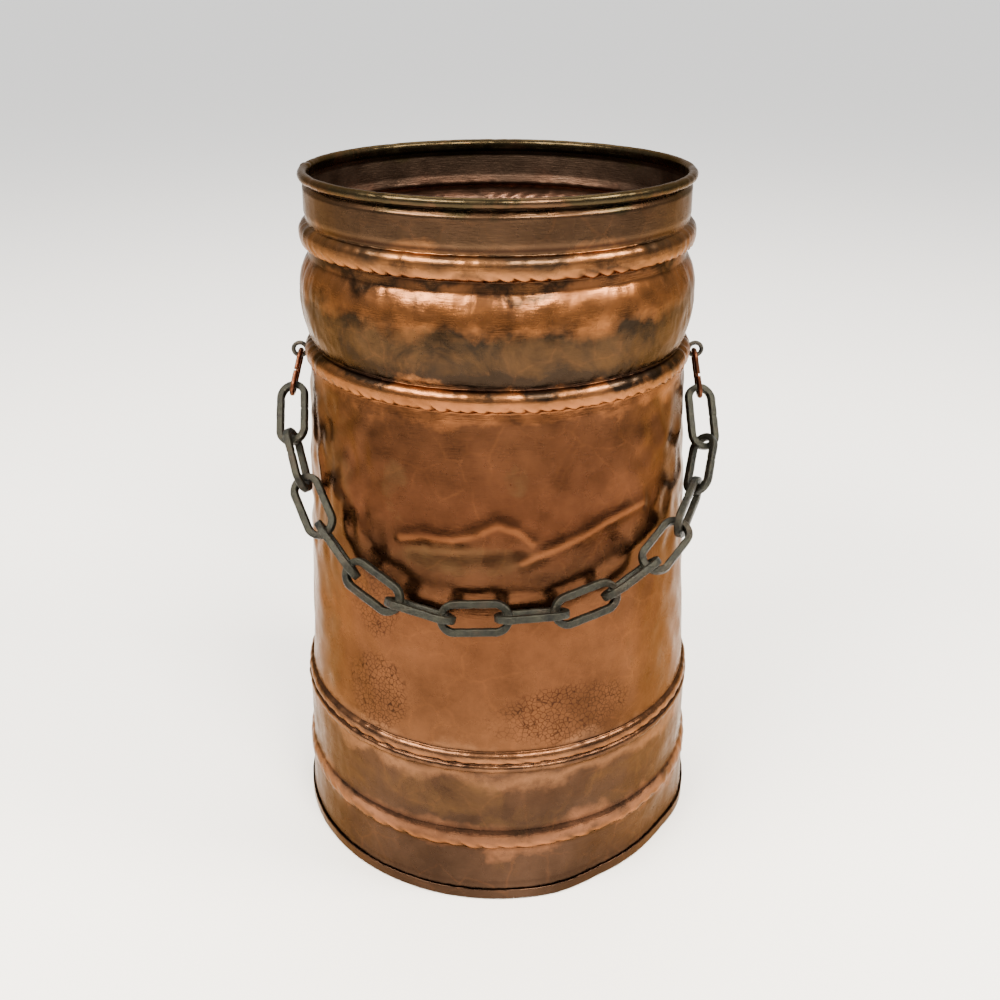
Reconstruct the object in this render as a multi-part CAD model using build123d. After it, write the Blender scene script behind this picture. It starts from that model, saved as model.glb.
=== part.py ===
from build123d import *

import os
from math import acos
from math import atan2
from math import cos
from math import hypot
from math import radians
from math import sin
from math import sqrt

# A tall hammered copper ice bucket with a chain handle. It stands on z = 0 and its own axis is the Z axis. The
# front, where the chain hangs, faces -Y, and the two eyes that hold the chain lie on the X axis. All sizes are
# in millimetres.

# Bucket
height = 454.0
rim_radius = 125.0
sheet = 1.0
rim_wire_radius = 2.05
rim_wire_play = 0.05
rim_wire_lap = 14.0
roll_run = 4.0
neck_radius = 122.3
waist_radius = 120.8
shoulder_radius = 123.0
shoulder_height = 327.0
foot_radius = 133.0
foot_height = 110.2
lower_band_radius = 136.0
base_radius = 139.7
pan_lip_height = 7.6
pan_gap = 0.1
pan_edge_radius = 0.6

# Eyes
eye_offset = 131.5
eye_height = 331.9
eye_wire_radius = 1.5
eye_ring_radius = 4.4
eye_hole_play = 0.05
eye_seat_radius = 122.3
peened_head_radius = 2.4
peened_head_rise = 0.4
burr_radius = 5.5
burr_thickness = 1.2
burr_seat_depth = 0.4

# Chain
hook_wire_radius = 1.7
hook_bow_radius = 5.7
hook_reach = 25.0
hook_to_eye_gap = 0.3
hook_to_link_gap = 1.3
link_pitch = 34.0
link_bar = 4.7
link_gap = 2.0
link_width = 21.5
link_edge_softening = 1.1
hook_splay = 3.5
chain_stand_off = 12.2
extra_stand_off = [1.8, 0.6, 0.2, 0, 0, 0, 0]

# Slope of the hook link and of each chain link below the horizontal, from the eye to the middle, in degrees
left_slopes = [48.5, 44, 41, 37.5, 31.5, 20, 7.4, -4.1]
right_slopes = [73, 54, 38, 28, 22, 16.5, 10, 0.2]

# Roll of each chain link about its own length, in degrees: 0 faces the front, 90 stands edge-on to it
left_rolls = [-12, 90, 5, 112, 8, 112, 17]
right_rolls = [20, 117, 42, 140, 66, 170, 70]

os.makedirs("parts", exist_ok=True)


def save(node, name):
    export_step(node, f"parts/{name}.step")


def wall_radius(z):
    """Outside radius of the tapered main wall at a height."""
    share = (min(z, shoulder_height) - foot_height) / (shoulder_height - foot_height)
    return foot_radius + (shoulder_radius - foot_radius) * share


# ---------------------------------------------------------------- body: one sheet, from the base up to the rim

roll_radius = rim_wire_radius + rim_wire_play
roll_centre = (rim_radius - roll_radius - sheet, height - roll_radius - sheet)


def roll_point(angle):
    """A point on the inner face of the rolled rim, by its angle round the rim wire."""
    return (
        roll_centre[0] + roll_radius * cos(radians(angle)),
        roll_centre[1] + roll_radius * sin(radians(angle)),
    )


sheet_bottom = (base_radius - sheet - pan_gap, sheet + pan_gap)
roll_start = (roll_centre[0] - roll_radius, roll_centre[1] - roll_run)

with BuildLine(Plane.XZ) as outside:
    # lower bands and their beads
    Line(sheet_bottom, (138.0, 11.0))
    Line((138.0, 11.0), (137.0, 39.0))
    ThreePointArc((137.0, 39.0), (138.4, 44.6), (135.9, 52.6))
    Line((135.9, 52.6), (lower_band_radius, 96.8))
    ThreePointArc((lower_band_radius, 96.8), (136.9, 99.0), (134.6, 102.2))
    ThreePointArc((134.6, 102.2), (136.2, 106.4), (foot_radius, foot_height))
    # tapered main wall and the narrow seat for the eyes
    Line((foot_radius, foot_height), (shoulder_radius, shoulder_height))
    Line((shoulder_radius, shoulder_height), (122.2, 332.8))
    # bead, bulge, bead
    ThreePointArc((122.2, 332.8), (126.1, 338.9), (waist_radius, 345.6))
    ThreePointArc((waist_radius, 345.6), (125.6, 360.5), (127.1, 380.0))
    ThreePointArc((127.1, 380.0), (125.3, 392.5), (waist_radius, 401.4))
    Line((waist_radius, 401.4), (119.8, 407.8))
    ThreePointArc((119.8, 407.8), (124.4, 410.8), (125.8, 416.1))
    ThreePointArc((125.8, 416.1), (124.5, 420.4), (121.2, 422.8))
    # neck, and the edge rolled outwards round the rim wire
    Line((121.2, 422.8), (neck_radius, 428.5))
    Line((neck_radius, 428.5), (neck_radius, 443.4))
    Line((neck_radius, 443.4), roll_start)
    Line(roll_start, roll_point(180))
    ThreePointArc(roll_point(180), roll_point(90), roll_point(0))
    ThreePointArc(roll_point(0), roll_point(-30), roll_point(-60))

section = make_face(offset(outside.line, amount=sheet, side=Side.LEFT))
shell = revolve(section, Axis.Z)
eye_hole_radius = eye_wire_radius + eye_hole_play
for side in (-1, 1):
    drill = Cylinder(eye_hole_radius, 2 * (eye_offset - waist_radius) + 10 * sheet)
    shell -= Pos(side * eye_offset, 0, eye_height) * Rot(0, 90, 0) * drill
save(shell, "body_shell")
print("body_shell volume", round(shell.volume), "is valid", shell.is_valid)

# ---------------------------------------------------------------- wire inside the rolled rim

rim_wire = Pos(0, 0, roll_centre[1]) * Torus(roll_centre[0], rim_wire_radius)
wire_cut = Box(8 * rim_wire_radius, rim_wire_lap, 8 * rim_wire_radius)
wire_gap = Rot(0, 0, 180) * Pos(roll_centre[0], 0, roll_centre[1]) * wire_cut
save(rim_wire - wire_gap, "rim_wire")

# ---------------------------------------------------------------- base: a shallow pan that the body stands in

lip_inner_radius = base_radius - sheet
pan = Cylinder(base_radius, pan_lip_height, align=(Align.CENTER, Align.CENTER, Align.MIN))
pan -= Pos(0, 0, sheet) * Cylinder(lip_inner_radius, height, align=(Align.CENTER, Align.CENTER, Align.MIN))
save(fillet(pan.edges().group_by(Axis.Z)[0], pan_edge_radius), "base_pan")

# ---------------------------------------------------------------- eyes: a wire ring on a shank peened over a burr

burr_face = eye_seat_radius - sheet - burr_seat_depth
shank_end = burr_face - burr_thickness


def make_eye():
    """The right-hand eye. Its ring stands in the XZ plane, so the hole runs along Y."""
    ring = Pos(eye_offset, 0, eye_height) * Rot(90, 0, 0) * Torus(eye_ring_radius, eye_wire_radius)
    shank_length = eye_offset - eye_ring_radius - shank_end
    shank = Cylinder(eye_wire_radius, shank_length, align=(Align.CENTER, Align.CENTER, Align.MIN))
    shank = Pos(shank_end, 0, eye_height) * Rot(0, 90, 0) * shank
    dome = Pos(shank_end + peened_head_rise, 0, eye_height) * Sphere(peened_head_radius)
    block = 4 * peened_head_radius
    dome &= Pos(shank_end - block / 2, 0, eye_height) * Box(block, block, block)
    return ring + shank + dome


def make_burr():
    """The right-hand burr, a small washer that the shank is peened down on."""
    disc = Cylinder(burr_radius, burr_thickness, align=(Align.CENTER, Align.CENTER, Align.MIN))
    disc -= Cylinder(eye_hole_radius, 4 * burr_thickness)
    return Pos(shank_end, 0, eye_height) * Rot(0, 90, 0) * disc


save(make_eye(), "eye_right")
save(mirror(make_eye(), Plane.YZ), "eye_left")
save(make_burr(), "burr_right")
save(mirror(make_burr(), Plane.YZ), "burr_left")

# ---------------------------------------------------------------- chain: where each link hangs

pivot_height = eye_height - eye_ring_radius


def contacts(slopes, side):
    """The points where a half chain's links meet, from the eye to the middle of the front."""
    slope = radians(slopes[0])
    drop = sqrt(hook_reach**2 - hook_splay**2)
    points = [Vector(eye_offset, 0, pivot_height)]
    points.append(points[0] + Vector(hook_splay, -drop * cos(slope), -drop * sin(slope)))
    for slope, extra in zip(map(radians, slopes[1:]), extra_stand_off):
        last = points[-1]
        z = last.Z - link_pitch * sin(slope)
        near = hypot(last.X, last.Y)
        far = wall_radius(z) + chain_stand_off + extra
        across = link_pitch * cos(slope)
        turn = acos((near**2 + far**2 - across**2) / (2 * near * far))
        bearing = atan2(last.X, -last.Y) - turn
        points.append(Vector(far * sin(bearing), -far * cos(bearing), z))
    return [Vector(side * point.X, point.Y, point.Z) for point in points]


def link_place(start, end, roll):
    """The frame of a link: local Z runs along it, and local X is its width."""
    along = (end - start).normalized()
    middle = (start + end) * 0.5
    front = Vector(0, -1, 0)
    front = (front - along * front.dot(along)).normalized()
    sideways = along.cross(front)
    width = sideways * cos(radians(roll)) + front * sin(radians(roll))
    return Plane(origin=middle, x_dir=width, z_dir=along)


def make_ring(length, width, bar):
    """A flat oval link of square bar in the XZ plane, with its edges softened."""
    outline = SlotOverall(length, width) - SlotOverall(length - 2 * bar, width - 2 * bar)
    ring = extrude(outline, amount=bar / 2, both=True)
    ring = fillet(ring.edges(), link_edge_softening)
    return Rot(90, 0, 0) * Rot(0, 0, 90) * ring


def make_hook_link(centre_length):
    """An oval link of round wire in the XZ plane, its middle at the origin."""
    straight = centre_length - 2 * hook_bow_radius
    half = straight / 2
    with BuildLine(Plane.XZ) as loop:
        Line((hook_bow_radius, -half), (hook_bow_radius, half))
        ThreePointArc((hook_bow_radius, half), (0, half + hook_bow_radius), (-hook_bow_radius, half))
        Line((-hook_bow_radius, half), (-hook_bow_radius, -half))
        ThreePointArc((-hook_bow_radius, -half), (0, -half - hook_bow_radius), (hook_bow_radius, -half))
    start = Plane(origin=(hook_bow_radius, 0, -half), z_dir=(0, 0, 1))
    return sweep(start * Circle(hook_wire_radius), path=loop.line)


eye_to_hook = eye_wire_radius + hook_wire_radius + hook_to_eye_gap
hook_past_contact = hook_wire_radius + hook_to_link_gap / 2
hook_length = eye_to_hook + hook_reach + hook_past_contact
link_length = link_pitch + 2 * link_bar + link_gap
oval = make_ring(link_length, link_width, link_bar)
hook_link = make_hook_link(hook_length)
print("hook link solid", hook_link.is_valid, "chain link solid", oval.is_valid)

for side, name, slopes, rolls in ((-1, "left", left_slopes, left_rolls), (1, "right", right_slopes, right_rolls)):
    joints = contacts(slopes, side)
    place = link_place(joints[0], joints[1], 90)
    hook_shift = (hook_past_contact - eye_to_hook) / 2
    save(place.location * Pos(0, 0, hook_shift) * hook_link, f"hook_link_{name}")
    for index, roll in enumerate(rolls):
        number = index + 1 if side < 0 else 14 - index
        place = link_place(joints[index + 1], joints[index + 2], roll)
        save(place.location * oval, f"chain_link_{number:02d}")
    print(name, "contacts", [tuple(round(c, 2) for c in point) for point in joints])
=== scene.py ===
from math import cos, pi, radians, sin

import bpy
import numpy as np
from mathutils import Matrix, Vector


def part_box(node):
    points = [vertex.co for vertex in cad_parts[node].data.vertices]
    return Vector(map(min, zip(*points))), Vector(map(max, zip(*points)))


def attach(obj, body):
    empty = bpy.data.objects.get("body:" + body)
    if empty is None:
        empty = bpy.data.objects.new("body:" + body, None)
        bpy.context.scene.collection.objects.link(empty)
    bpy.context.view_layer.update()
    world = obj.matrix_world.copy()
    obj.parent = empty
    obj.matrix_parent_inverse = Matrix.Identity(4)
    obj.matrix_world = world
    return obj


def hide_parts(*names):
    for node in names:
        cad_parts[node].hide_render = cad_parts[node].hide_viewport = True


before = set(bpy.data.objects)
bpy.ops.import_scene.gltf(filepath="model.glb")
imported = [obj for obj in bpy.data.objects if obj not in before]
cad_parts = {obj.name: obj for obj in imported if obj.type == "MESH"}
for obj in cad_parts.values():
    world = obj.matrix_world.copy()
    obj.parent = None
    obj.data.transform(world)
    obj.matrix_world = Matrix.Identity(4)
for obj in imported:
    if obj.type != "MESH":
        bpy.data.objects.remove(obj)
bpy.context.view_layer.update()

# ---------------------------------------------------------------------------------------------------------
# Body. One sheet of copper, about 1 mm thick, hammered over stakes into bands, beads, a bulged shoulder and
# a wall that narrows upwards. Its top edge is rolled outwards round the rim wire, with a lap at the left, and
# its foot stands in the base pan. Years of use have dented the wall and left brown and olive patina.

SHEET = 1.0
AROUND = 520
STEP = 1.5
LAP_BEARING = -93.0
MEAN_RADIUS = 130.0
body_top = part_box("body_shell")[1].z * 1000.0
rim_radius = 125.0
wire_space = 2.1
roll_radius = wire_space + SHEET
roll_middle = (rim_radius - roll_radius, body_top - roll_radius)


def arc_through(first, middle, last, step):
    """Points along the circular arc through three points of the outline, without the last one."""
    (ax, ay), (bx, by), (cx, cy) = first, middle, last
    d = 2 * (ax * (by - cy) + bx * (cy - ay) + cx * (ay - by))
    a2, b2, c2 = ax * ax + ay * ay, bx * bx + by * by, cx * cx + cy * cy
    ux = (a2 * (by - cy) + b2 * (cy - ay) + c2 * (ay - by)) / d
    uy = (a2 * (cx - bx) + b2 * (ax - cx) + c2 * (bx - ax)) / d
    radius = np.hypot(ax - ux, ay - uy)
    start, via, end = (np.arctan2(y - uy, x - ux) for x, y in (first, middle, last))
    turn = (end - start) % (2 * pi)
    if (via - start) % (2 * pi) > turn:
        turn -= 2 * pi
    count = max(4, int(round(abs(turn) * radius / step)))
    angles = start + turn * np.arange(count) / count
    return [(ux + radius * cos(a), uy + radius * sin(a)) for a in angles]


def straight(first, last, step):
    """Points along a straight run of the outline, without the last one."""
    length = np.hypot(last[0] - first[0], last[1] - first[1])
    count = max(1, int(round(length / step)))
    share = (np.arange(count) / count)[:, None]
    return [tuple(p) for p in np.array(first) * (1 - share) + np.array(last) * share]


def body_outline():
    """Outside of the body from its foot up to the end of the rolled rim, as (radius, height) in mm."""
    points = straight((138.6, 1.1), (138.0, 11.0), STEP)
    points += straight((138.0, 11.0), (137.0, 39.0), STEP)
    points += arc_through((137.0, 39.0), (138.6, 44.6), (135.9, 52.6), STEP / 2)
    points += straight((135.9, 52.6), (136.0, 96.8), STEP)
    points += arc_through((136.0, 96.8), (136.9, 99.0), (134.6, 102.2), STEP / 2)
    points += arc_through((134.6, 102.2), (136.2, 106.4), (133.0, 110.2), STEP / 2)
    points += straight((133.0, 110.2), (123.0, 327.0), STEP)
    points += straight((123.0, 327.0), (122.2, 332.8), STEP)
    points += arc_through((122.2, 332.8), (126.1, 338.9), (120.8, 345.6), STEP / 2)
    points += arc_through((120.8, 345.6), (125.6, 360.5), (127.1, 380.0), STEP)
    points += arc_through((127.1, 380.0), (125.3, 392.5), (120.8, 401.4), STEP)
    points += straight((120.8, 401.4), (119.8, 407.8), STEP / 2)
    points += arc_through((119.8, 407.8), (124.4, 410.8), (125.8, 416.1), STEP / 2)
    points += arc_through((125.8, 416.1), (124.5, 420.4), (121.2, 422.8), STEP / 2)
    points += straight((121.2, 422.8), (122.3, 428.5), STEP / 2)
    points += straight((122.3, 428.5), (122.3, 443.4), STEP)
    roll_side = roll_middle[0] - wire_space
    points += straight((122.3, 443.4), (roll_side, roll_middle[1] - 4.0), STEP / 2)
    points += straight((roll_side, roll_middle[1] - 4.0), (roll_side, roll_middle[1]), STEP)
    for angle in range(180, -70, -20):
        points.append((roll_middle[0] + wire_space * cos(radians(angle)),
                       roll_middle[1] + wire_space * sin(radians(angle))))
    return np.array(points)


def outline_normals(points):
    """Unit normals of an outline, pointing away from the bucket's axis along its wall."""
    along = np.gradient(points, axis=0)
    along /= np.linalg.norm(along, axis=1)[:, None]
    return np.stack([along[:, 1], -along[:, 0]], axis=1)


def window(values, low, high, soft):
    """1 between low and high, falling smoothly to 0 over soft on each side."""
    rise = np.clip((values - low + soft) / soft, 0, 1)
    fall = np.clip((high + soft - values) / soft, 0, 1)
    share = np.minimum(rise, fall)
    return share * share * (3 - 2 * share)


def ripples(rng, bearing, height, length, tall, count=22):
    """Smooth unevenness that closes round the bucket, from about -1 to 1, of a length and height in mm."""
    total = np.zeros(np.broadcast(bearing, height).shape)
    for _ in range(count):
        waves = int(round(rng.normal() * 2 * pi * MEAN_RADIUS / length))
        rise = rng.normal() * 2 * pi / tall
        total += np.cos(waves * bearing + rise * height + rng.uniform(0, 2 * pi))
    return total / np.sqrt(count) / 1.4


def hammer(rng, bearing, height, low, high, size, spacing):
    """Overlapping round hammer marks between two heights: 0 on their ridges, down to -1 in their middles."""
    marks = np.zeros((len(height), len(bearing)))
    pitch = bearing[1] - bearing[0]
    count = int(2 * pi * MEAN_RADIUS * (high - low) / spacing**2)
    for _ in range(count):
        middle = rng.uniform(low, high)
        turn = rng.uniform(-pi, pi)
        reach = size * rng.uniform(0.75, 1.25)
        rows = np.flatnonzero(np.abs(height - middle) < 2 * reach)
        if not len(rows):
            continue
        half = int(2 * reach / (MEAN_RADIUS * pitch)) + 1
        column = int((turn + pi) / pitch)
        columns = np.arange(column - half, column + half + 1) % len(bearing)
        off = (np.arange(-half, half + 1) * pitch) * MEAN_RADIUS
        far = (off[None, :] ** 2 + (height[rows][:, None] - middle) ** 2) / reach**2
        patch = -np.exp(-far * 1.6) * rng.uniform(0.6, 1.0)
        grid = np.ix_(rows, columns)
        marks[grid] = np.minimum(marks[grid], patch)
    return marks


def crease(bearing, height, track, width, depth):
    """A ridge, or a groove if depth is negative, along points of bearing in degrees and height in mm."""
    u = np.radians(np.array([p[0] for p in track])) * MEAN_RADIUS
    v = np.array([p[1] for p in track], float)
    across = bearing[None, :] * MEAN_RADIUS
    up = height[:, None] + 0 * across
    across = across + 0 * up
    nearest = np.full(up.shape, 1e9)
    for (u0, v0), (u1, v1) in zip(zip(u, v), zip(u[1:], v[1:])):
        length2 = (u1 - u0) ** 2 + (v1 - v0) ** 2
        share = np.clip(((across - u0) * (u1 - u0) + (up - v0) * (v1 - v0)) / length2, 0, 1)
        off = (across - u0 - share * (u1 - u0)) ** 2 + (up - v0 - share * (v1 - v0)) ** 2
        nearest = np.minimum(nearest, off)
    return depth * np.exp(-nearest / width**2)


def foot_dent(bearing, height):
    """How far the foot of the bucket is pushed in where it was once knocked, right of the front."""
    return -3.4 * window(np.degrees(bearing), 32, 54, 18) * window(height, -5, 12, 34)


def body_dents(bearing, height):
    """Everything that hammering and knocks did to the body, as a displacement along its normal in mm."""
    rng = np.random.default_rng(41)
    up = height[:, None]
    turn = bearing[None, :]
    wall = window(up, 118, 322, 8)
    bands = window(up, 14, 96, 3)
    shoulder = window(up, 348, 399, 3)
    neck = window(up, 426, 441, 3)
    beads = window(up, 38, 54, 2) + window(up, 97, 110, 1) + window(up, 332, 346, 1) + window(up, 407, 423, 1)
    total = 0.55 * wall * ripples(rng, turn, up, 75, 95)
    total += 0.28 * wall * ripples(rng, turn, up, 30, 42)
    total += 0.30 * bands * ripples(rng, turn, up, 40, 60)
    total += 0.35 * shoulder * ripples(rng, turn, up, 34, 50)
    total += 0.14 * shoulder * ripples(rng, turn, up, 11, 24)
    total += 0.16 * neck * ripples(rng, turn, up, 36, 60)
    total += 0.22 * beads * ripples(rng, turn, up, 13, 60)
    total += (0.30 * shoulder + 0.22 * bands) * hammer(rng, bearing, height, 10, 402, 5.2, 6.2)
    total += 0.16 * (wall + 0.5 * neck) * hammer(rng, bearing, height, 112, 444, 8.0, 13.0)
    rough_left = window(np.degrees(turn), -88, -38, 14)
    rough_right = window(np.degrees(turn), 46, 86, 12)
    total += 0.75 * rough_left * window(up, 215, 312, 14) * ripples(rng, turn, up, 34, 38)
    total += 0.7 * rough_right * window(up, 215, 312, 14) * ripples(rng, turn, up, 32, 40)
    upper_ridge = [(-27, 250), (-21, 255), (-12, 253), (-6, 257), (0, 264), (5, 260), (9, 252)]
    total += crease(bearing, height, upper_ridge, 5.2, 1.5)
    total += crease(bearing, height, [(7, 240), (15, 247), (23, 252), (31, 258), (44, 262)], 5.2, 1.6)
    total += crease(bearing, height, [(-24, 243), (-8, 245), (4, 248)], 6.5, -1.5)
    total += crease(bearing, height, [(10, 230), (20, 236), (34, 241)], 7.5, -1.0)
    total += crease(bearing, height, [(-16, 226), (0, 222), (12, 225)], 8.0, 0.7)
    total += crease(bearing, height, [(-52, 316), (-50, 290), (-47, 262)], 6.0, 0.8)
    total += crease(bearing, height, [(-76, 300), (-66, 280), (-60, 255)], 5.0, 1.0)
    total += foot_dent(turn, up)
    return total


def scallops(rng, bearing, length):
    """The uneven, rope-like edge that a narrow hammer leaves along a bead, between about 0 and 1."""
    waves = 0.0
    for share in (1.0, 0.7, 0.5):
        count = int(round(2 * pi * 125.0 / (length * rng.uniform(0.8, 1.25))))
        phase = rng.uniform(0, pi)
        waves = waves + share * np.abs(np.sin(count * bearing / 2 + phase + 0.7 * np.sin(5 * bearing)))
    return waves / 2.2


def revolve(name, grid_radius, grid_height, bearing, closed):
    """A mesh object from a grid of radii and heights in mm: rows up the outline, columns round the axis."""
    rows, columns = grid_radius.shape
    x = grid_radius * np.sin(bearing)[None, :]
    y = -grid_radius * np.cos(bearing)[None, :]
    points = np.stack([x, y, grid_height], axis=-1).reshape(-1, 3) / 1000.0
    index = np.arange(rows * columns).reshape(rows, columns)
    low = index if closed else index[:-1]
    high = np.roll(index, -1, axis=0) if closed else index[1:]
    faces = np.stack([low, np.roll(low, -1, axis=1), np.roll(high, -1, axis=1), high], axis=-1).reshape(-1, 4)
    mesh = bpy.data.meshes.new(name)
    mesh.vertices.add(len(points))
    mesh.vertices.foreach_set("co", points.astype(np.float32).ravel())
    mesh.loops.add(faces.size)
    mesh.loops.foreach_set("vertex_index", faces.astype(np.int32).ravel())
    mesh.polygons.add(len(faces))
    mesh.polygons.foreach_set("loop_start", (np.arange(len(faces)) * 4).astype(np.int32))
    mesh.polygons.foreach_set("use_smooth", np.ones(len(faces), bool))
    mesh.update(calc_edges=True)
    mesh.validate()
    piece = bpy.data.objects.new(name, mesh)
    bpy.context.scene.collection.objects.link(piece)
    return piece


def colour(code):
    """A linear colour from an sRGB hex code."""
    parts = [int(code[i:i + 2], 16) / 255.0 for i in (1, 3, 5)]
    return [c / 12.92 if c <= 0.04045 else ((c + 0.055) / 1.055) ** 2.4 for c in parts] + [1.0]


def new_material(name):
    """An empty material with its shader and output, and the node tree to build in."""
    material = bpy.data.materials.new(name)
    material.use_nodes = True
    tree = material.node_tree
    tree.nodes.clear()
    output = tree.nodes.new("ShaderNodeOutputMaterial")
    shader = tree.nodes.new("ShaderNodeBsdfPrincipled")
    tree.links.new(shader.outputs[0], output.inputs["Surface"])
    return material, tree, shader


def add_node(tree, kind, inputs=None, **settings):
    """Adds one node. Settings are its properties; inputs gives sockets a value or another node's output."""
    node = tree.nodes.new(kind)
    for key, value in settings.items():
        if key == "stops":
            ramp = node.color_ramp.elements
            while len(ramp) < len(value):
                ramp.new(0.5)
            for stop, (place, shade) in zip(ramp, value):
                stop.position = place
                stop.color = shade
        else:
            setattr(node, key, value)
    for socket, value in (inputs or {}).items():
        if isinstance(value, bpy.types.NodeSocket):
            tree.links.new(value, node.inputs[socket])
        else:
            node.inputs[socket].default_value = value
    return node


def grey(value):
    """A grey of one linear value."""
    return (value, value, value, 1.0)


def aged_copper(name, tones, olive, pink, dark, roughness, grain):
    """Hammered copper with years of patina. Its tones change with height. Where the tones given have them,
    light bands on upward-facing tops are painted highlight, and dark bands on faces turned down and in
    creases are painted shade.
    It has olive-grey tarnish in patches, rosy crests that are partly worn metal and partly painted highlight,
    black hollows that are painted shade, black pits, and faint facet lines."""
    material, tree, shader = new_material(name)
    place = add_node(tree, "ShaderNodeTexCoord").outputs["Object"]
    up = add_node(tree, "ShaderNodeSeparateXYZ", {"Vector": place}).outputs["Z"]
    # the zones of tone run up and down into each other by about 10 mm
    drift = add_node(tree, "ShaderNodeTexNoise", {"Vector": place, "Scale": 24.0, "Detail": 5.0,
                                                  "Roughness": 0.6})
    drift = add_node(tree, "ShaderNodeMapRange", {"Value": drift.outputs["Fac"],
                                                  "From Min": 0.3, "From Max": 0.7,
                                                  "To Min": -0.011, "To Max": 0.011}).outputs[0]
    zone = add_node(tree, "ShaderNodeMath", {0: up, 1: drift}, operation="ADD").outputs[0]
    share = add_node(tree, "ShaderNodeMapRange", {"Value": zone, "From Min": 0.0,
                                                  "From Max": 0.46}).outputs[0]
    # the height ramp carries the tones given, with their painted highlight bands on upward-facing tops and
    # painted shade bands on downward faces and in creases
    tone = add_node(tree, "ShaderNodeValToRGB", {"Fac": share},
                    stops=[(height / 460.0, colour(code)) for height, code in tones]).outputs[0]
    # clouding of light and dark metal, about 70 mm across, with smaller smears in it
    cloud = add_node(tree, "ShaderNodeTexNoise", {"Vector": place, "Scale": 14.0, "Detail": 6.0,
                                                  "Roughness": 0.68})
    cloud = add_node(tree, "ShaderNodeMapRange", {"Value": cloud.outputs["Fac"],
                                                  "From Min": 0.34, "From Max": 0.66,
                                                  "To Min": 0.66, "To Max": 1.34}).outputs[0]
    mixed = add_node(tree, "ShaderNodeVectorMath", {0: tone, "Scale": cloud}, operation="SCALE").outputs[0]
    # olive tarnish where the damp stood, with ragged edges
    patch = add_node(tree, "ShaderNodeTexNoise", {"Vector": place, "Scale": 26.0, "Detail": 8.0,
                                                  "Roughness": 0.7, "Distortion": 0.5}).outputs["Fac"]
    stain = add_node(tree, "ShaderNodeAttribute", attribute_name="stain").outputs["Fac"]
    tarnish = add_node(tree, "ShaderNodeMath", {0: patch, 1: stain}, operation="ADD").outputs[0]
    tarnish = add_node(tree, "ShaderNodeMapRange", {"Value": tarnish, "From Min": 0.62, "From Max": 0.86,
                                                    "To Max": 0.85}).outputs[0]
    mixed = add_node(tree, "ShaderNodeMix", {"Factor": tarnish, "A": mixed, "B": olive}, data_type="RGBA")
    # rosy crests, partly freshly rubbed metal and partly painted highlight, and painted shade darkening the
    # hollows, from the shape of the sheet
    crest = add_node(tree, "ShaderNodeAttribute", attribute_name="crest").outputs["Fac"]
    rubbed_and_highlit = add_node(tree, "ShaderNodeMapRange", {"Value": crest, "From Min": 0.2, "From Max": 1.0,
                                                   "To Max": 0.5})
    mixed = add_node(tree, "ShaderNodeMix", {"Factor": rubbed_and_highlit.outputs[0], "A": mixed.outputs["Result"],
                                             "B": pink}, data_type="RGBA")
    hollow_shade = add_node(tree, "ShaderNodeMapRange", {"Value": crest, "From Min": -0.1, "From Max": -1.0,
                                                   "To Max": 0.85})
    mixed = add_node(tree, "ShaderNodeMix", {"Factor": hollow_shade.outputs[0], "A": mixed.outputs["Result"],
                                             "B": dark}, data_type="RGBA")
    # dark pitting with a crackle, about 3 mm from line to line
    crackle = add_node(tree, "ShaderNodeTexVoronoi", {"Vector": place, "Scale": 330.0},
                       feature="DISTANCE_TO_EDGE")
    crackle = add_node(tree, "ShaderNodeMapRange", {"Value": crackle.outputs["Distance"], "From Min": 0.09,
                                                    "From Max": 0.01}).outputs[0]
    where = add_node(tree, "ShaderNodeTexNoise", {"Vector": place, "Scale": 70.0, "Detail": 6.0,
                                                  "Roughness": 0.75})
    pitting = add_node(tree, "ShaderNodeAttribute", attribute_name="pitting").outputs["Fac"]
    where = add_node(tree, "ShaderNodeMath", {0: where.outputs["Fac"], 1: pitting},
                     operation="ADD").outputs[0]
    where = add_node(tree, "ShaderNodeMapRange", {"Value": where, "From Min": 0.74, "From Max": 1.0,
                                                  "To Max": 0.9}).outputs[0]
    pits = add_node(tree, "ShaderNodeMath", {0: crackle, 1: where}, operation="MULTIPLY").outputs[0]
    mixed = add_node(tree, "ShaderNodeMix", {"Factor": pits, "A": mixed.outputs["Result"], "B": dark},
                     data_type="RGBA")
    # faint lighter lines where the planishing facets meet, about 25 mm from line to line
    bend = add_node(tree, "ShaderNodeTexNoise", {"Vector": place, "Scale": 30.0, "Detail": 3.0})
    bent = add_node(tree, "ShaderNodeMix", {"Factor": 0.025, "A": place, "B": bend.outputs["Color"]},
                    data_type="RGBA")
    facet = add_node(tree, "ShaderNodeTexVoronoi", {"Vector": bent.outputs["Result"], "Scale": 42.0},
                     feature="DISTANCE_TO_EDGE")
    facet = add_node(tree, "ShaderNodeMapRange", {"Value": facet.outputs["Distance"], "From Min": 0.05,
                                                  "From Max": 0.0, "To Max": 0.05}).outputs[0]
    shown = add_node(tree, "ShaderNodeMapRange", {"Value": patch, "From Min": 0.42,
                                                  "From Max": 0.62}).outputs[0]
    facet = add_node(tree, "ShaderNodeMath", {0: facet, 1: shown}, operation="MULTIPLY").outputs[0]
    mixed = add_node(tree, "ShaderNodeMix", {"Factor": facet, "A": mixed.outputs["Result"], "B": pink},
                     data_type="RGBA")
    tree.links.new(mixed.outputs["Result"], shader.inputs["Base Color"])
    shader.inputs["Metallic"].default_value = 1.0
    shader.inputs["Specular Tint"].default_value = colour("#D6C6BA")
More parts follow.
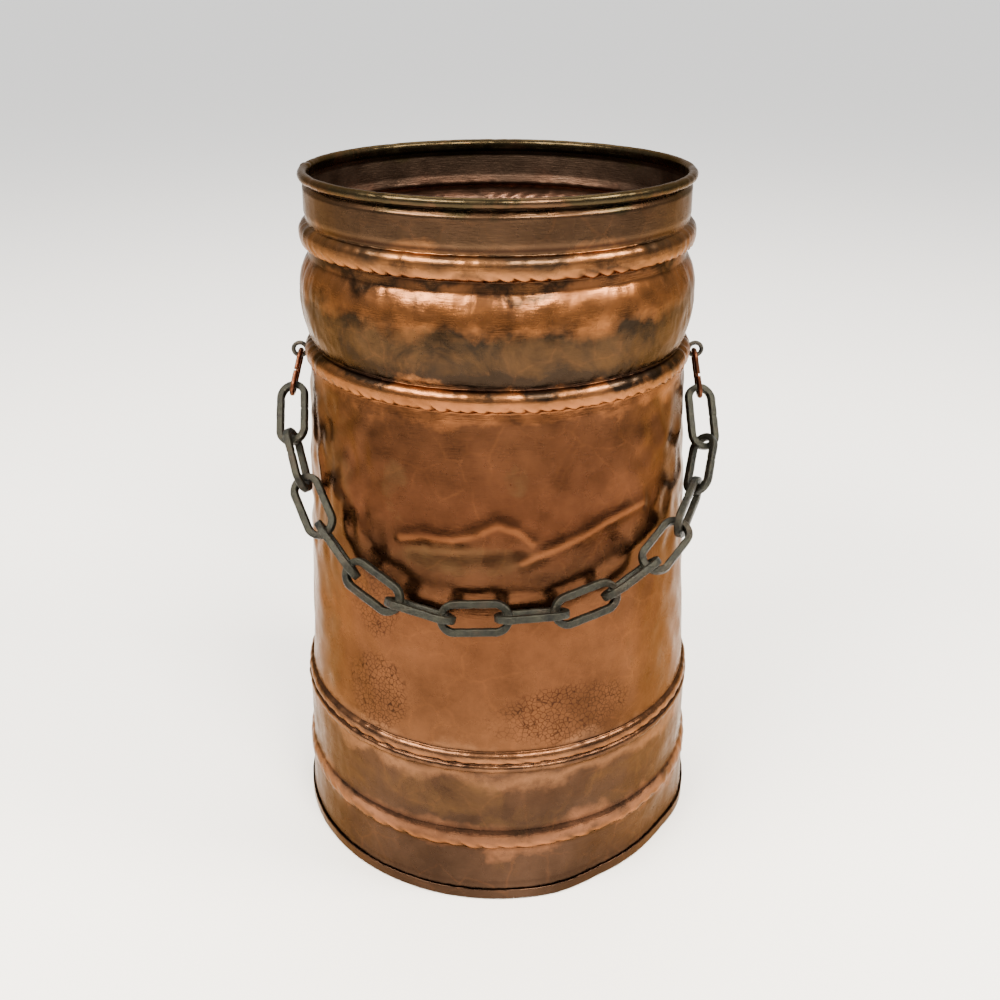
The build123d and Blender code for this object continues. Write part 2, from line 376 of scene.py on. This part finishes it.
    # tarnished patches are duller than bare metal
    smear = add_node(tree, "ShaderNodeTexNoise", {"Vector": place, "Scale": 60.0, "Detail": 4.0})
    dull = add_node(tree, "ShaderNodeMath", {0: tarnish, 1: 0.12}, operation="MULTIPLY")
    gloss = add_node(tree, "ShaderNodeMapRange", {"Value": smear.outputs["Fac"],
                                                  "From Min": 0.3, "From Max": 0.7,
                                                  "To Min": roughness - 0.05, "To Max": roughness + 0.07})
    gloss = add_node(tree, "ShaderNodeMath", {0: gloss.outputs[0], 1: dull.outputs[0]}, operation="ADD")
    tree.links.new(gloss.outputs[0], shader.inputs["Roughness"])
    # fine lines that run round the sheet, and the soft grain that planishing leaves
    flat = add_node(tree, "ShaderNodeMapping", {"Vector": place, "Scale": (1.0, 1.0, 14.0)})
    lines = add_node(tree, "ShaderNodeTexNoise", {"Vector": flat.outputs[0], "Scale": 120.0, "Detail": 4.0})
    fine = add_node(tree, "ShaderNodeTexNoise", {"Vector": place, "Scale": 420.0, "Detail": 3.0})
    rough = add_node(tree, "ShaderNodeMath", {0: lines.outputs["Fac"], 1: fine.outputs["Fac"]},
                     operation="ADD")
    bump = add_node(tree, "ShaderNodeBump", {"Height": rough.outputs[0], "Strength": grain,
                                             "Distance": 0.0004})
    tree.links.new(bump.outputs[0], shader.inputs["Normal"])
    return material


def spots(bearing, height, places):
    """Soft-edged spots at (bearing in degrees, height, half width, half height in mm, strength)."""
    total = np.zeros((len(height), len(bearing)))
    for turn, middle, wide, tall, strength in places:
        off = (bearing[None, :] - radians(turn) + pi) % (2 * pi) - pi
        far = np.sqrt((off * MEAN_RADIUS / wide) ** 2 + ((height[:, None] - middle) / tall) ** 2)
        total = np.maximum(total, strength * window(far, -1, 0.7, 0.8))
    return total


def paint(piece, name, values):
    """Stores a value for each point of a mesh, or one for all of them, for its material to read."""
    layer = piece.data.attributes.new(name, "FLOAT", "POINT")
    if np.ndim(values) == 0:
        values = np.full(len(piece.data.vertices), values)
    layer.data.foreach_set("value", np.asarray(values, np.float32).ravel())


outline = body_outline()
normals = outline_normals(outline)
bearing = np.linspace(-pi, pi, AROUND, endpoint=False)
push = body_dents(bearing, outline[:, 1])
edge_rng = np.random.default_rng(7)
roll_rng = np.random.default_rng(19)
bead_edges = [(411.0, 2.6, 9.0, 1.6), (334.8, 2.6, 10.0, 1.8), (104.5, 2.2, 12.0, 0.7),
              (42.0, 2.8, 11.0, 1.2)]
lower = np.zeros_like(push)
crest = np.zeros_like(push)
for middle, reach, length, drop in bead_edges:
    near = np.exp(-((outline[:, 1] - middle) / reach) ** 2)[:, None]
    edge = scallops(edge_rng, bearing[None, :] + (outline[:, 1:] - middle) * 0.012, length)
    lower -= near * drop * edge
    push += near * 0.5 * drop * (edge - 0.5)
    # the rosy scalloped bead edges are partly rubbed metal and partly painted highlight
    crest += 0.9 * near * edge
around_lap = np.degrees(bearing) - LAP_BEARING
rolled = window(outline[:, 1], roll_middle[1] - 1.8, 500, 1.6)[:, None]
knocks = 0.16 * ripples(roll_rng, bearing[None, :], outline[:, 1][:, None] * 0, 14, 1e6)
lap = 0.35 * window(-around_lap, 0.2, 2.6, 0.25) - 0.75 * window(around_lap, -0.2, 1.6, 2.0)
push += rolled * (knocks + lap[None, :])
# Painted shade: the crest value drops along the creases beside the beads, under the roll and at the foot,
# which darkens these hollows in the material.
for height, depth in ((425.2, 1.0), (407.8, 1.0), (401.4, 0.5), (346.0, 1.0), (332.6, 0.7), (110.4, 0.7),
                      (102.2, 1.0), (96.8, 0.4), (53.0, 0.8), (38.6, 0.7), (446.5, 0.2), (12.0, 0.4)):
    crest -= depth * np.exp(-((outline[:, 1] - height) / 1.5) ** 2)[:, None]
# rosy lines along the two wall ridges and on every outward push, partly rubbed metal and partly painted
# highlight
crest += crease(bearing, outline[:, 1], [(-27, 250), (-12, 253), (0, 264), (5, 260), (9, 252)], 3.4, 0.28)
crest += crease(bearing, outline[:, 1], [(7, 240), (15, 247), (31, 258), (44, 262)], 3.4, 0.32)
crest += np.clip(push, 0, 1) * 0.12
outer_radius = outline[:, :1] + normals[:, :1] * push
outer_height = outline[:, 1:] + normals[:, 1:] * push + lower
inner_radius = outer_radius - normals[:, :1] * SHEET
inner_height = outer_height - normals[:, 1:] * SHEET
radius = np.concatenate([outer_radius, inner_radius[::-1]])
height = np.minimum(np.concatenate([outer_height, inner_height[::-1]]), body_top - 0.02)
body = revolve("hammered_body", radius, height, bearing, True)
old_stains = spots(bearing, outline[:, 1], [
    (-29, 279, 10, 20, 0.22), (5, 292, 8, 12, 0.19), (-8, 240, 48, 9, 0.22), (-20, 368, 60, 14, 0.24),
    (25, 366, 90, 12, 0.24), (70, 372, 60, 18, 0.2), (-70, 375, 60, 18, 0.22), (140, 366, 120, 14, 0.24),
    (-140, 370, 90, 12, 0.22), (35, 76, 40, 10, 0.2), (-50, 72, 60, 12, 0.2), (10, 62, 90, 10, 0.16),
    (-54, 265, 20, 50, 0.2), (-60, 180, 22, 60, 0.2), (-14, 76, 34, 16, 0.24), (120, 250, 30, 50, 0.24),
    (-150, 190, 24, 40, 0.26), (170, 300, 40, 12, 0.24), (-110, 290, 18, 26, 0.24)])
old_pits = spots(bearing, outline[:, 1], [
    (-36, 205, 20, 28, 0.56), (-36, 138, 24, 26, 0.56), (20, 133, 46, 20, 0.50), (-62, 170, 16, 60, 0.4),
    (-30, 80, 40, 12, 0.22), (60, 140, 16, 30, 0.3), (150, 150, 50, 30, 0.38), (-150, 260, 40, 20, 0.34)])
nothing = np.zeros_like(crest)
paint(body, "crest", np.concatenate([crest, nothing - 0.15]))
paint(body, "stain", np.concatenate([old_stains, nothing]))
paint(body, "pitting", np.concatenate([old_pits, nothing + 0.1]))
# Tones up the outside. The light bands at the beads and on the upward-facing top of the shoulder are painted
# highlight. The dark bands in the creases next to the beads and on the downward-facing lower shoulder are
# painted shade.
outside_tones_and_painted_light = [
    (0, "#34261D"), (36, "#38281E"), (44, "#64422E"), (56, "#33251C"), (84, "#38271C"),
    (92, "#62432E"), (100, "#3C2A1F"), (107, "#60412C"), (116, "#4A2F1D"), (190, "#4E301D"),
    (232, "#3C2618"), (262, "#412617"), (322, "#3E2617"), (334, "#76492A"), (342, "#6E472A"),
    (347, "#261D16"), (376, "#231C15"), (388, "#744827"), (398, "#6E462A"), (404, "#281E16"),
    (412, "#70492B"), (424, "#3C2C1F"), (444, "#3E2D20"), (449, "#2F281B")]
copper = aged_copper("aged_hammered_copper", outside_tones_and_painted_light, colour("#46321F"), colour("#A2663C"),
                     colour("#20130D"), 0.26, 0.24)
# Tones up the inside. The dark band at 402 mm, where the inside faces down under the shoulder, is painted
# shade. The light band at 412 mm, where the inside of the upper bead faces up, is painted highlight.
inside_tones_and_painted_light = [(0, "#4A3A2E"), (330, "#503F34"), (402, "#3E3028"), (412, "#64483A"), (428, "#4A3A30"),
                (446, "#46382E"), (452, "#38301F")]
copper_inside = aged_copper("aged_copper_inside", inside_tones_and_painted_light, colour("#382F26"), colour("#6E4A38"),
                            colour("#20140F"), 0.42, 0.4)
body.data.materials.append(copper)
body.data.materials.append(copper_inside)
inside_faces = np.zeros(len(body.data.polygons), np.int32)
inside_faces[len(outline) * AROUND:] = 1
roll_rows = int((outline[:, 1] > roll_middle[1] - 4.5).sum())
inside_faces[len(outline) * AROUND:(len(outline) + roll_rows) * AROUND] = 0
body.data.polygons.foreach_set("material_index", inside_faces)
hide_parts("body_shell")
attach(body, "bucket")

# ---------------------------------------------------------------------------------------------------------
# Rim wire. Drawn iron wire, 4 mm thick, bent to a ring, with the top edge of the body beaten round it. The
# roll hides nearly all of it, so the plain ring of the frame stays and only gets its iron.


def dark_iron(name, light, deep, rust, roughness):
    """Forged iron, dark from fire and oil: near-black scale, greyer on the edges that rub, a little rust."""
    material, tree, shader = new_material(name)
    place = add_node(tree, "ShaderNodeTexCoord").outputs["Object"]
    scale = add_node(tree, "ShaderNodeTexNoise", {"Vector": place, "Scale": 140.0, "Detail": 6.0,
                                                  "Roughness": 0.65})
    base = add_node(tree, "ShaderNodeValToRGB", {"Fac": scale.outputs["Fac"]},
                    stops=[(0.35, deep), (0.66, light)])
    specks = add_node(tree, "ShaderNodeTexNoise", {"Vector": place, "Scale": 45.0, "Detail": 7.0,
                                                   "Roughness": 0.7})
    rusty = add_node(tree, "ShaderNodeValToRGB", {"Fac": specks.outputs["Fac"]},
                     stops=[(0.52, grey(0)), (0.70, grey(0.8))])
    base = add_node(tree, "ShaderNodeMix", {"Factor": rusty.outputs[0], "A": base.outputs[0], "B": rust},
                    data_type="RGBA")
    edge = add_node(tree, "ShaderNodeNewGeometry").outputs["Pointiness"]
    worn = add_node(tree, "ShaderNodeMapRange", {"Value": edge, "From Min": 0.52, "From Max": 0.60,
                                                 "To Max": 0.35})
    base = add_node(tree, "ShaderNodeMix", {"Factor": worn.outputs[0], "A": base.outputs["Result"],
                                            "B": colour("#56544A")}, data_type="RGBA")
    tree.links.new(base.outputs["Result"], shader.inputs["Base Color"])
    shader.inputs["Metallic"].default_value = 0.75
    gloss = add_node(tree, "ShaderNodeMapRange", {"Value": scale.outputs["Fac"],
                                                  "From Min": 0.3, "From Max": 0.7,
                                                  "To Min": roughness - 0.08, "To Max": roughness + 0.12})
    tree.links.new(gloss.outputs[0], shader.inputs["Roughness"])
    grit = add_node(tree, "ShaderNodeTexNoise", {"Vector": place, "Scale": 380.0, "Detail": 5.0,
                                                 "Roughness": 0.6})
    both = add_node(tree, "ShaderNodeMath", {0: grit.outputs["Fac"], 1: scale.outputs["Fac"]},
                    operation="ADD")
    bump = add_node(tree, "ShaderNodeBump", {"Height": both.outputs[0], "Strength": 0.75, "Distance": 0.0011})
    tree.links.new(bump.outputs[0], shader.inputs["Normal"])
    return material


wire_iron = dark_iron("drawn_iron_wire", colour("#6A655C"), colour("#3A3632"), colour("#5A3A28"), 0.45)
wire_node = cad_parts["rim_wire"]
wire_node.data.materials.clear()
wire_node.data.materials.append(wire_iron)

# ---------------------------------------------------------------------------------------------------------
# Base pan. A disc of the same copper with its edge turned up round the foot of the body and beaten against
# it. The knock at the foot has pushed in its edge as well.

pan_low, pan_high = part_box("base_pan")
pan_radius = pan_high.x * 1000.0 - 0.1
lip = pan_high.z * 1000.0
pan_outline = straight((0.5, 1.0), (pan_radius - 1.05, 1.0), 4.0)
pan_outline += straight((pan_radius - 1.05, 1.0), (pan_radius - 1.05, lip - 0.5), 0.8)
pan_outline += arc_through((pan_radius - 1.05, lip - 0.5), (pan_radius - 0.5, lip),
                           (pan_radius, lip - 0.5), 0.2)
pan_outline += straight((pan_radius, lip - 0.5), (pan_radius, 1.0), 0.8)
pan_outline += arc_through((pan_radius, 1.0), (pan_radius - 0.3, 0.3), (pan_radius - 1.0, 0.0), 0.25)
pan_outline += straight((pan_radius - 1.0, 0.0), (0.5, 0.0), 4.0)
pan_outline = np.array(pan_outline)[::-1]
pan_rng = np.random.default_rng(23)
pan_push = foot_dent(bearing[None, :], pan_outline[:, 1:])
pan_push = pan_push + 0.12 * ripples(pan_rng, bearing[None, :], pan_outline[:, 1:], 18, 40)
at_edge = window(pan_outline[:, :1], pan_radius - 3, 400, 6)
pan_grid = pan_outline[:, :1] + np.minimum(pan_push * at_edge, 0.05)
pan_heights = pan_outline[:, 1:] + 0 * pan_push
wavy = 0.25 * ripples(pan_rng, bearing[None, :], pan_outline[:, 1:] * 0, 12, 1e6) - 0.2
pan_heights = pan_heights + np.minimum(wavy, 0) * window(pan_outline[:, 1:], lip - 1.2, 20, 1.5)
pan = revolve("base_pan_beaten", pan_grid, pan_heights, bearing, True)
paint(pan, "crest", 0.15)
pan.data.materials.append(copper)
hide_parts("base_pan")
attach(pan, "bucket")

# ---------------------------------------------------------------------------------------------------------
# Eyes. Round iron wire, 3 mm thick, bent into a ring with its end closed on the shank. The shank goes through
# the wall under the upper bead and is peened over inside.


def sweep_loop(name, path, frames, section, closed):
    """A tube mesh: a cross-section in mm at each point of a path, laid along that point's two directions."""
    rings = []
    for index, (point, (side, up)) in enumerate(zip(path, frames)):
        ring = section(index)
        rings.append(point[None, :] + ring[:, :1] * side[None, :] + ring[:, 1:] * up[None, :])
    rings = np.array(rings)
    count, sides = rings.shape[:2]
    index = np.arange(count * sides).reshape(count, sides)
    low = index if closed else index[:-1]
    high = np.roll(index, -1, axis=0) if closed else index[1:]
    faces = np.stack([low, np.roll(low, -1, axis=1), np.roll(high, -1, axis=1), high], axis=-1).reshape(-1, 4)
    faces = [tuple(int(i) for i in face) for face in faces]
    if not closed:
        faces.append(tuple(int(i) for i in index[0][::-1]))
        faces.append(tuple(int(i) for i in index[-1]))
    mesh = bpy.data.meshes.new(name)
    mesh.from_pydata([tuple(p) for p in rings.reshape(-1, 3) / 1000.0], [], faces)
    mesh.polygons.foreach_set("use_smooth", np.ones(len(mesh.polygons), bool))
    mesh.update()
    piece = bpy.data.objects.new(name, mesh)
    bpy.context.scene.collection.objects.link(piece)
    return piece


def round_bar(rng, radius, sides, uneven):
    """A cross-section function for hand-worked round wire, which is never quite round."""
    angle = np.linspace(0, 2 * pi, sides, endpoint=False)
    flat = rng.uniform(0, 2 * pi, 64)
    deep = rng.uniform(0.2, 1.0, 64) * uneven

    def section(index):
        step = index / 5.0
        low, share = int(step) % 63, step % 1.0
        size = radius * (1 - deep[low] * (1 - share) * np.cos(angle - flat[low]) ** 8
                         - deep[low + 1] * share * np.cos(angle - flat[low + 1]) ** 8)
        return np.stack([size * np.cos(angle), size * np.sin(angle)], axis=1)

    return section


eye_iron = dark_iron("forged_eye_iron", colour("#3E3B34"), colour("#1E1C19"), colour("#3A2A1E"), 0.42)
for side, name in ((-1, "left"), (1, "right")):
    low, high = (np.array(corner) * 1000.0 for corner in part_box(f"eye_{name}"))
    reach = high[0] if side > 0 else -low[0]
    inner_end = low[0] if side > 0 else -high[0]
    eye_wire = 1.5
    ring_radius = (high[2] - low[2]) / 2 - eye_wire
    middle = np.array([reach - ring_radius - eye_wire, 0.0, (low[2] + high[2]) / 2])
    eye_rng = np.random.default_rng(50 + side)
    shank = np.arange(inner_end + 1.2, middle[0] - ring_radius - 1.0, 1.0)
    path = [np.array([x, 0.0, middle[2]]) for x in shank]
    start_turns = np.radians(np.arange(180, -172, -7.5))
    lift = np.linspace(0, 0.35, len(start_turns))
    path += [middle + [ring_radius * cos(a), rise - 0.1, ring_radius * sin(a)]
             for a, rise in zip(start_turns, lift)]
    path = np.array(path)
    path[:, 0] *= side
    along = np.gradient(path, axis=0)
    along /= np.linalg.norm(along, axis=1)[:, None]
    frames = [(np.cross(a, [0, 1.0, 0]), np.array([0, 1.0, 0])) for a in along]
    eye = sweep_loop(f"wire_eye_{name}", path, frames, round_bar(eye_rng, 1.48, 14, 0.10), False)
    head_angle = np.linspace(0, 2 * pi, 20, endpoint=False)
    dome = [np.array([side * (inner_end + x), 0.0, middle[2]]) for x in (0.05, 0.35, 0.9, 1.5, 1.95, 2.05)]
    sizes = [0.5, 1.5, 2.2, 2.35, 2.3, 1.4]
    head_rng = np.random.default_rng(60 + side)
    wobble = 1 + 0.07 * np.cos(3 * head_angle + head_rng.uniform(0, 6))
    heads = sweep_loop(f"peened_head_{name}", dome, [(np.array([0, 1.0, 0]), np.array([0, 0, 1.0]))] * 6,
                       lambda i: np.stack([sizes[i] * wobble * np.cos(head_angle),
                                           sizes[i] * wobble * np.sin(head_angle)], axis=1), False)
    for piece in (eye, heads):
        piece.data.materials.append(eye_iron)
        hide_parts(f"eye_{name}")
        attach(piece, "bucket")

# ---------------------------------------------------------------------------------------------------------
# Burrs. Small copper washers cut by hand from sheet, one inside the wall behind each eye. The shank's end is
# peened over them, so the wall isn't pulled through.

for side, name in ((-1, "left"), (1, "right")):
    low, high = (np.array(corner) * 1000.0 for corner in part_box(f"burr_{name}"))
    middle = (low + high) / 2
    disc = (high[2] - low[2]) / 2
    thick = high[0] - low[0]
    burr_rng = np.random.default_rng(70 + side)
    bore = 1.56
    angle = np.linspace(0, 2 * pi, 48, endpoint=False)
    cut = 1 - 0.025 * np.abs(np.sin(3.5 * angle + burr_rng.uniform(0, 3)))
    ring = [(bore, -0.5), (disc - 0.4, -0.5), (disc, -0.2), (disc, 0.2), (disc - 0.4, 0.5), (bore, 0.5)]
    rows = [np.stack([np.full(48, 0.0), r * np.cos(angle) * (cut if r > 3 else 1), r * np.sin(angle)], axis=1)
            + middle + [t * thick, 0, 0] for r, t in ring]
    points = np.array(rows).reshape(-1, 3) / 1000.0
    index = np.arange(len(points)).reshape(len(ring), 48)
    quads = np.stack([index, np.roll(index, -1, axis=1), np.roll(np.roll(index, -1, axis=0), -1, axis=1),
                      np.roll(index, -1, axis=0)], axis=-1).reshape(-1, 4)
    mesh = bpy.data.meshes.new(f"washer_{name}")
    mesh.from_pydata([tuple(p) for p in points], [], [tuple(int(i) for i in q) for q in quads])
    mesh.update()
    washer = bpy.data.objects.new(f"washer_{name}", mesh)
    bpy.context.scene.collection.objects.link(washer)
    paint(washer, "crest", 0.1)
    washer.data.materials.append(copper_inside)
    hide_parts(f"burr_{name}")
    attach(washer, "bucket")

# ---------------------------------------------------------------------------------------------------------
# Hook links. Round copper wire, 3.4 mm thick, bent to an oval by hand and left unwelded, so that its two ends
# meet in a butt gap half way along one side. They have darkened to a reddish brown.


def link_axes(node):
    """Middle of a link in mm, and unit directions along its length, across its width and square to it."""
    points = np.array([v.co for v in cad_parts[node].data.vertices]) * 1000.0
    middle = (points.max(axis=0) + points.min(axis=0)) / 2
    directions = np.linalg.eigh(np.cov((points - middle).T))[1]
    along, across, square = directions[:, 2], directions[:, 1], directions[:, 0]
    if along[2] > 0:
        along = -along
    size = [np.ptp((points - middle) @ direction) for direction in (along, across, square)]
    return middle, along, across, np.cross(along, across), size


def oval_path(length, width, count):
    """Points round an oval's middle line and their outward directions, as fractions of its two axes."""
    bow = width / 2
    half = length / 2 - bow
    total = 4 * half + 2 * pi * bow
    points, outs = [], []
    for step in np.arange(count) * total / count:
        if step < 2 * half:
            points.append((half - step, bow))
            outs.append((0.0, 1.0))
        elif step < 2 * half + pi * bow:
            a = pi / 2 + (step - 2 * half) / bow
            points.append((-half + bow * cos(a), bow * sin(a)))
            outs.append((cos(a), sin(a)))
        elif step < 4 * half + pi * bow:
            points.append((-half + step - 2 * half - pi * bow, -bow))
            outs.append((0.0, -1.0))
        else:
            a = -pi / 2 + (step - 4 * half - pi * bow) / bow
            points.append((half + bow * cos(a), bow * sin(a)))
            outs.append((cos(a), sin(a)))
    return np.array(points), np.array(outs)


hook_copper = aged_copper("darkened_copper_wire", [(0, "#4A2C20"), (460, "#4E3022")], colour("#4A3A2C"),
                          colour("#A4664A"), colour("#2A1610"), 0.34, 0.3)
for name in ("left", "right"):
    middle, along, across, square, size = link_axes(f"hook_link_{name}")
    wire = size[2] / 2 - 0.02
    flat_points, flat_outs = oval_path(size[0] - 2 * wire, size[1] - 2 * wire, 96)
    order = np.roll(np.arange(96), -12)[:95]
    path = np.array([middle + x * along + y * across for x, y in flat_points[order]])
    frames = [(x * along + y * across, square) for x, y in flat_outs[order]]
    hook_rng = np.random.default_rng(81 if name == "left" else 82)
    hook = sweep_loop(f"copper_hook_link_{name}", path, frames, round_bar(hook_rng, wire, 16, 0.09), False)
    paint(hook, "crest", 0.1)
    hook.data.materials.append(hook_copper)
    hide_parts(f"hook_link_{name}")
    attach(hook, f"hook_{name}")

# ---------------------------------------------------------------------------------------------------------
# Chain links. Square iron bar, about 5 mm, bent hot to an oval and welded in the middle of one side. Each is
# hammered a little differently, with softened edges and the weld showing as a fine line.

BAR_SIDES = 20
STATIONS = 120


def square_bar(rng, half, weld):
    """A cross-section function for hammered square bar with rounded corners, pinched at its weld."""
    angle = np.linspace(0, 2 * pi, BAR_SIDES, endpoint=False) + pi / BAR_SIDES
    power = 2.0 / 7.0
    unit = np.stack([np.sign(np.cos(angle)) * np.abs(np.cos(angle)) ** power,
                     np.sign(np.sin(angle)) * np.abs(np.sin(angle)) ** power], axis=1)
    unit *= np.minimum(1.0, 1.26 / np.linalg.norm(unit, axis=1))[:, None]
    blows = rng.uniform(0.0, 0.09, (STATIONS // 5 + 2, 4))

    def section(index):
        step = index / 5.0
        low, share = int(step), step % 1.0
        flat = blows[low] * (1 - share) + blows[low + 1] * share
        near_weld = np.exp(-((index - weld) / 0.7) ** 2)
        size = half * (1 - 0.14 * near_weld)
        ring = unit.copy()
        ring[:, 0] *= np.where(unit[:, 0] > 0, 1 - flat[0], 1 - flat[1])
        ring[:, 1] *= np.where(unit[:, 1] > 0, 1 - flat[2], 1 - flat[3])
        return ring * size

    return section


chain_iron = dark_iron("forged_chain_iron", colour("#27271F"), colour("#12120F"), colour("#2A2117"), 0.44)
for number in range(1, 15):
    node = f"chain_link_{number:02d}"
    middle, along, across, square, size = link_axes(node)
    half = size[2] / 2 - 0.03
    flat_points, flat_outs = oval_path(size[0] - 2 * half, size[1] - 2 * half, STATIONS)
    path = np.array([middle + x * along + y * across for x, y in flat_points])
    frames = [(x * along + y * across, square) for x, y in flat_outs]
    link_rng = np.random.default_rng(100 + number)
    weld = link_rng.integers(14, 22)
    link = sweep_loop(f"iron_link_{number:02d}", path, frames, square_bar(link_rng, half, weld), True)
    link.data.materials.append(chain_iron)
    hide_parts(node)
    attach(link, f"link_{number:02d}")

# ---------------------------------------------------------------------------------------------------------
# Studio. A plain pale floor under a bright sky, three large soft lights in front and above, from left to
# right, and a fourth high at the back. The camera looks down a little from the front.


def stage_plane(name, size, shade):
    """A level painted sheet that reaches size metres from its middle on each side."""
    mesh = bpy.data.meshes.new(name)
    corners = [(-size, -size, 0), (size, -size, 0), (size, size, 0), (-size, size, 0)]
    mesh.from_pydata(corners, [], [(0, 1, 2, 3)])
    plane = bpy.data.objects.new(name, mesh)
    bpy.context.scene.collection.objects.link(plane)
    material, _, shader = new_material(name + "_paint")
    shader.inputs["Base Color"].default_value = shade
    shader.inputs["Roughness"].default_value = 0.9
    mesh.materials.append(material)
    return plane


floor = stage_plane("floor", 60.0, colour("#F8F7F5"))
floor.location.z = pan_low.z - 0.0005


def soft_light(name, azimuth, elevation, distance, wide, tall, power, shade):
    """A wide soft light aimed at the bucket's shoulder. Azimuth 0 is the front, positive to the right."""
    lamp = bpy.data.lights.new(name, "AREA")
    lamp.shape = "RECTANGLE"
    lamp.size = wide
    lamp.size_y = tall
    lamp.energy = power
    lamp.color = shade
    light = bpy.data.objects.new(name, lamp)
    bpy.context.scene.collection.objects.link(light)
    a, e = radians(azimuth), radians(elevation)
    aim = Vector((0, 0, 0.3))
    light.location = aim + distance * Vector((sin(a) * cos(e), -cos(a) * cos(e), sin(e)))
    light.rotation_euler = (aim - light.location).to_track_quat("-Z", "Y").to_euler()
    return light


soft_light("left_softbox", -50, 44, 1.7, 1.15, 0.42, 84, (1.0, 0.90, 0.76))
soft_light("front_softbox", 25, 44, 1.7, 0.55, 0.42, 52, (1.0, 0.90, 0.76))
soft_light("right_softbox", 74, 44, 1.7, 0.50, 0.42, 50, (1.0, 0.90, 0.76))
soft_light("back_softbox", 180, 62, 2.2, 1.6, 0.8, 40, (1.0, 0.98, 0.95))
world = bpy.data.worlds.new("studio_air")
bpy.context.scene.world = world
world.use_nodes = True
air = world.node_tree
direction = add_node(air, "ShaderNodeTexCoord").outputs["Generated"]
upward = add_node(air, "ShaderNodeSeparateXYZ", {"Vector": direction})
sky = add_node(air, "ShaderNodeValToRGB", {"Fac": upward.outputs["Z"]},
               stops=[(0.0, grey(0.50)), (0.25, grey(0.55)), (0.75, grey(1.0))])
air.links.new(sky.outputs[0], air.nodes["Background"].inputs["Color"])
air.nodes["Background"].inputs["Strength"].default_value = 1.6

camera_data = bpy.data.cameras.new("camera")
camera_data.sensor_width = 36.0
camera_data.lens = 40.7
camera_data.shift_x = 0.0025
camera_data.shift_y = -0.1
camera_data.clip_end = 100.0
camera = bpy.data.objects.new("camera", camera_data)
bpy.context.scene.collection.objects.link(camera)
camera.location = (0.0, -0.7191, 0.5599)
camera.rotation_euler = (radians(90.0 - 20.18), 0.0, 0.0)
bpy.context.scene.camera = camera
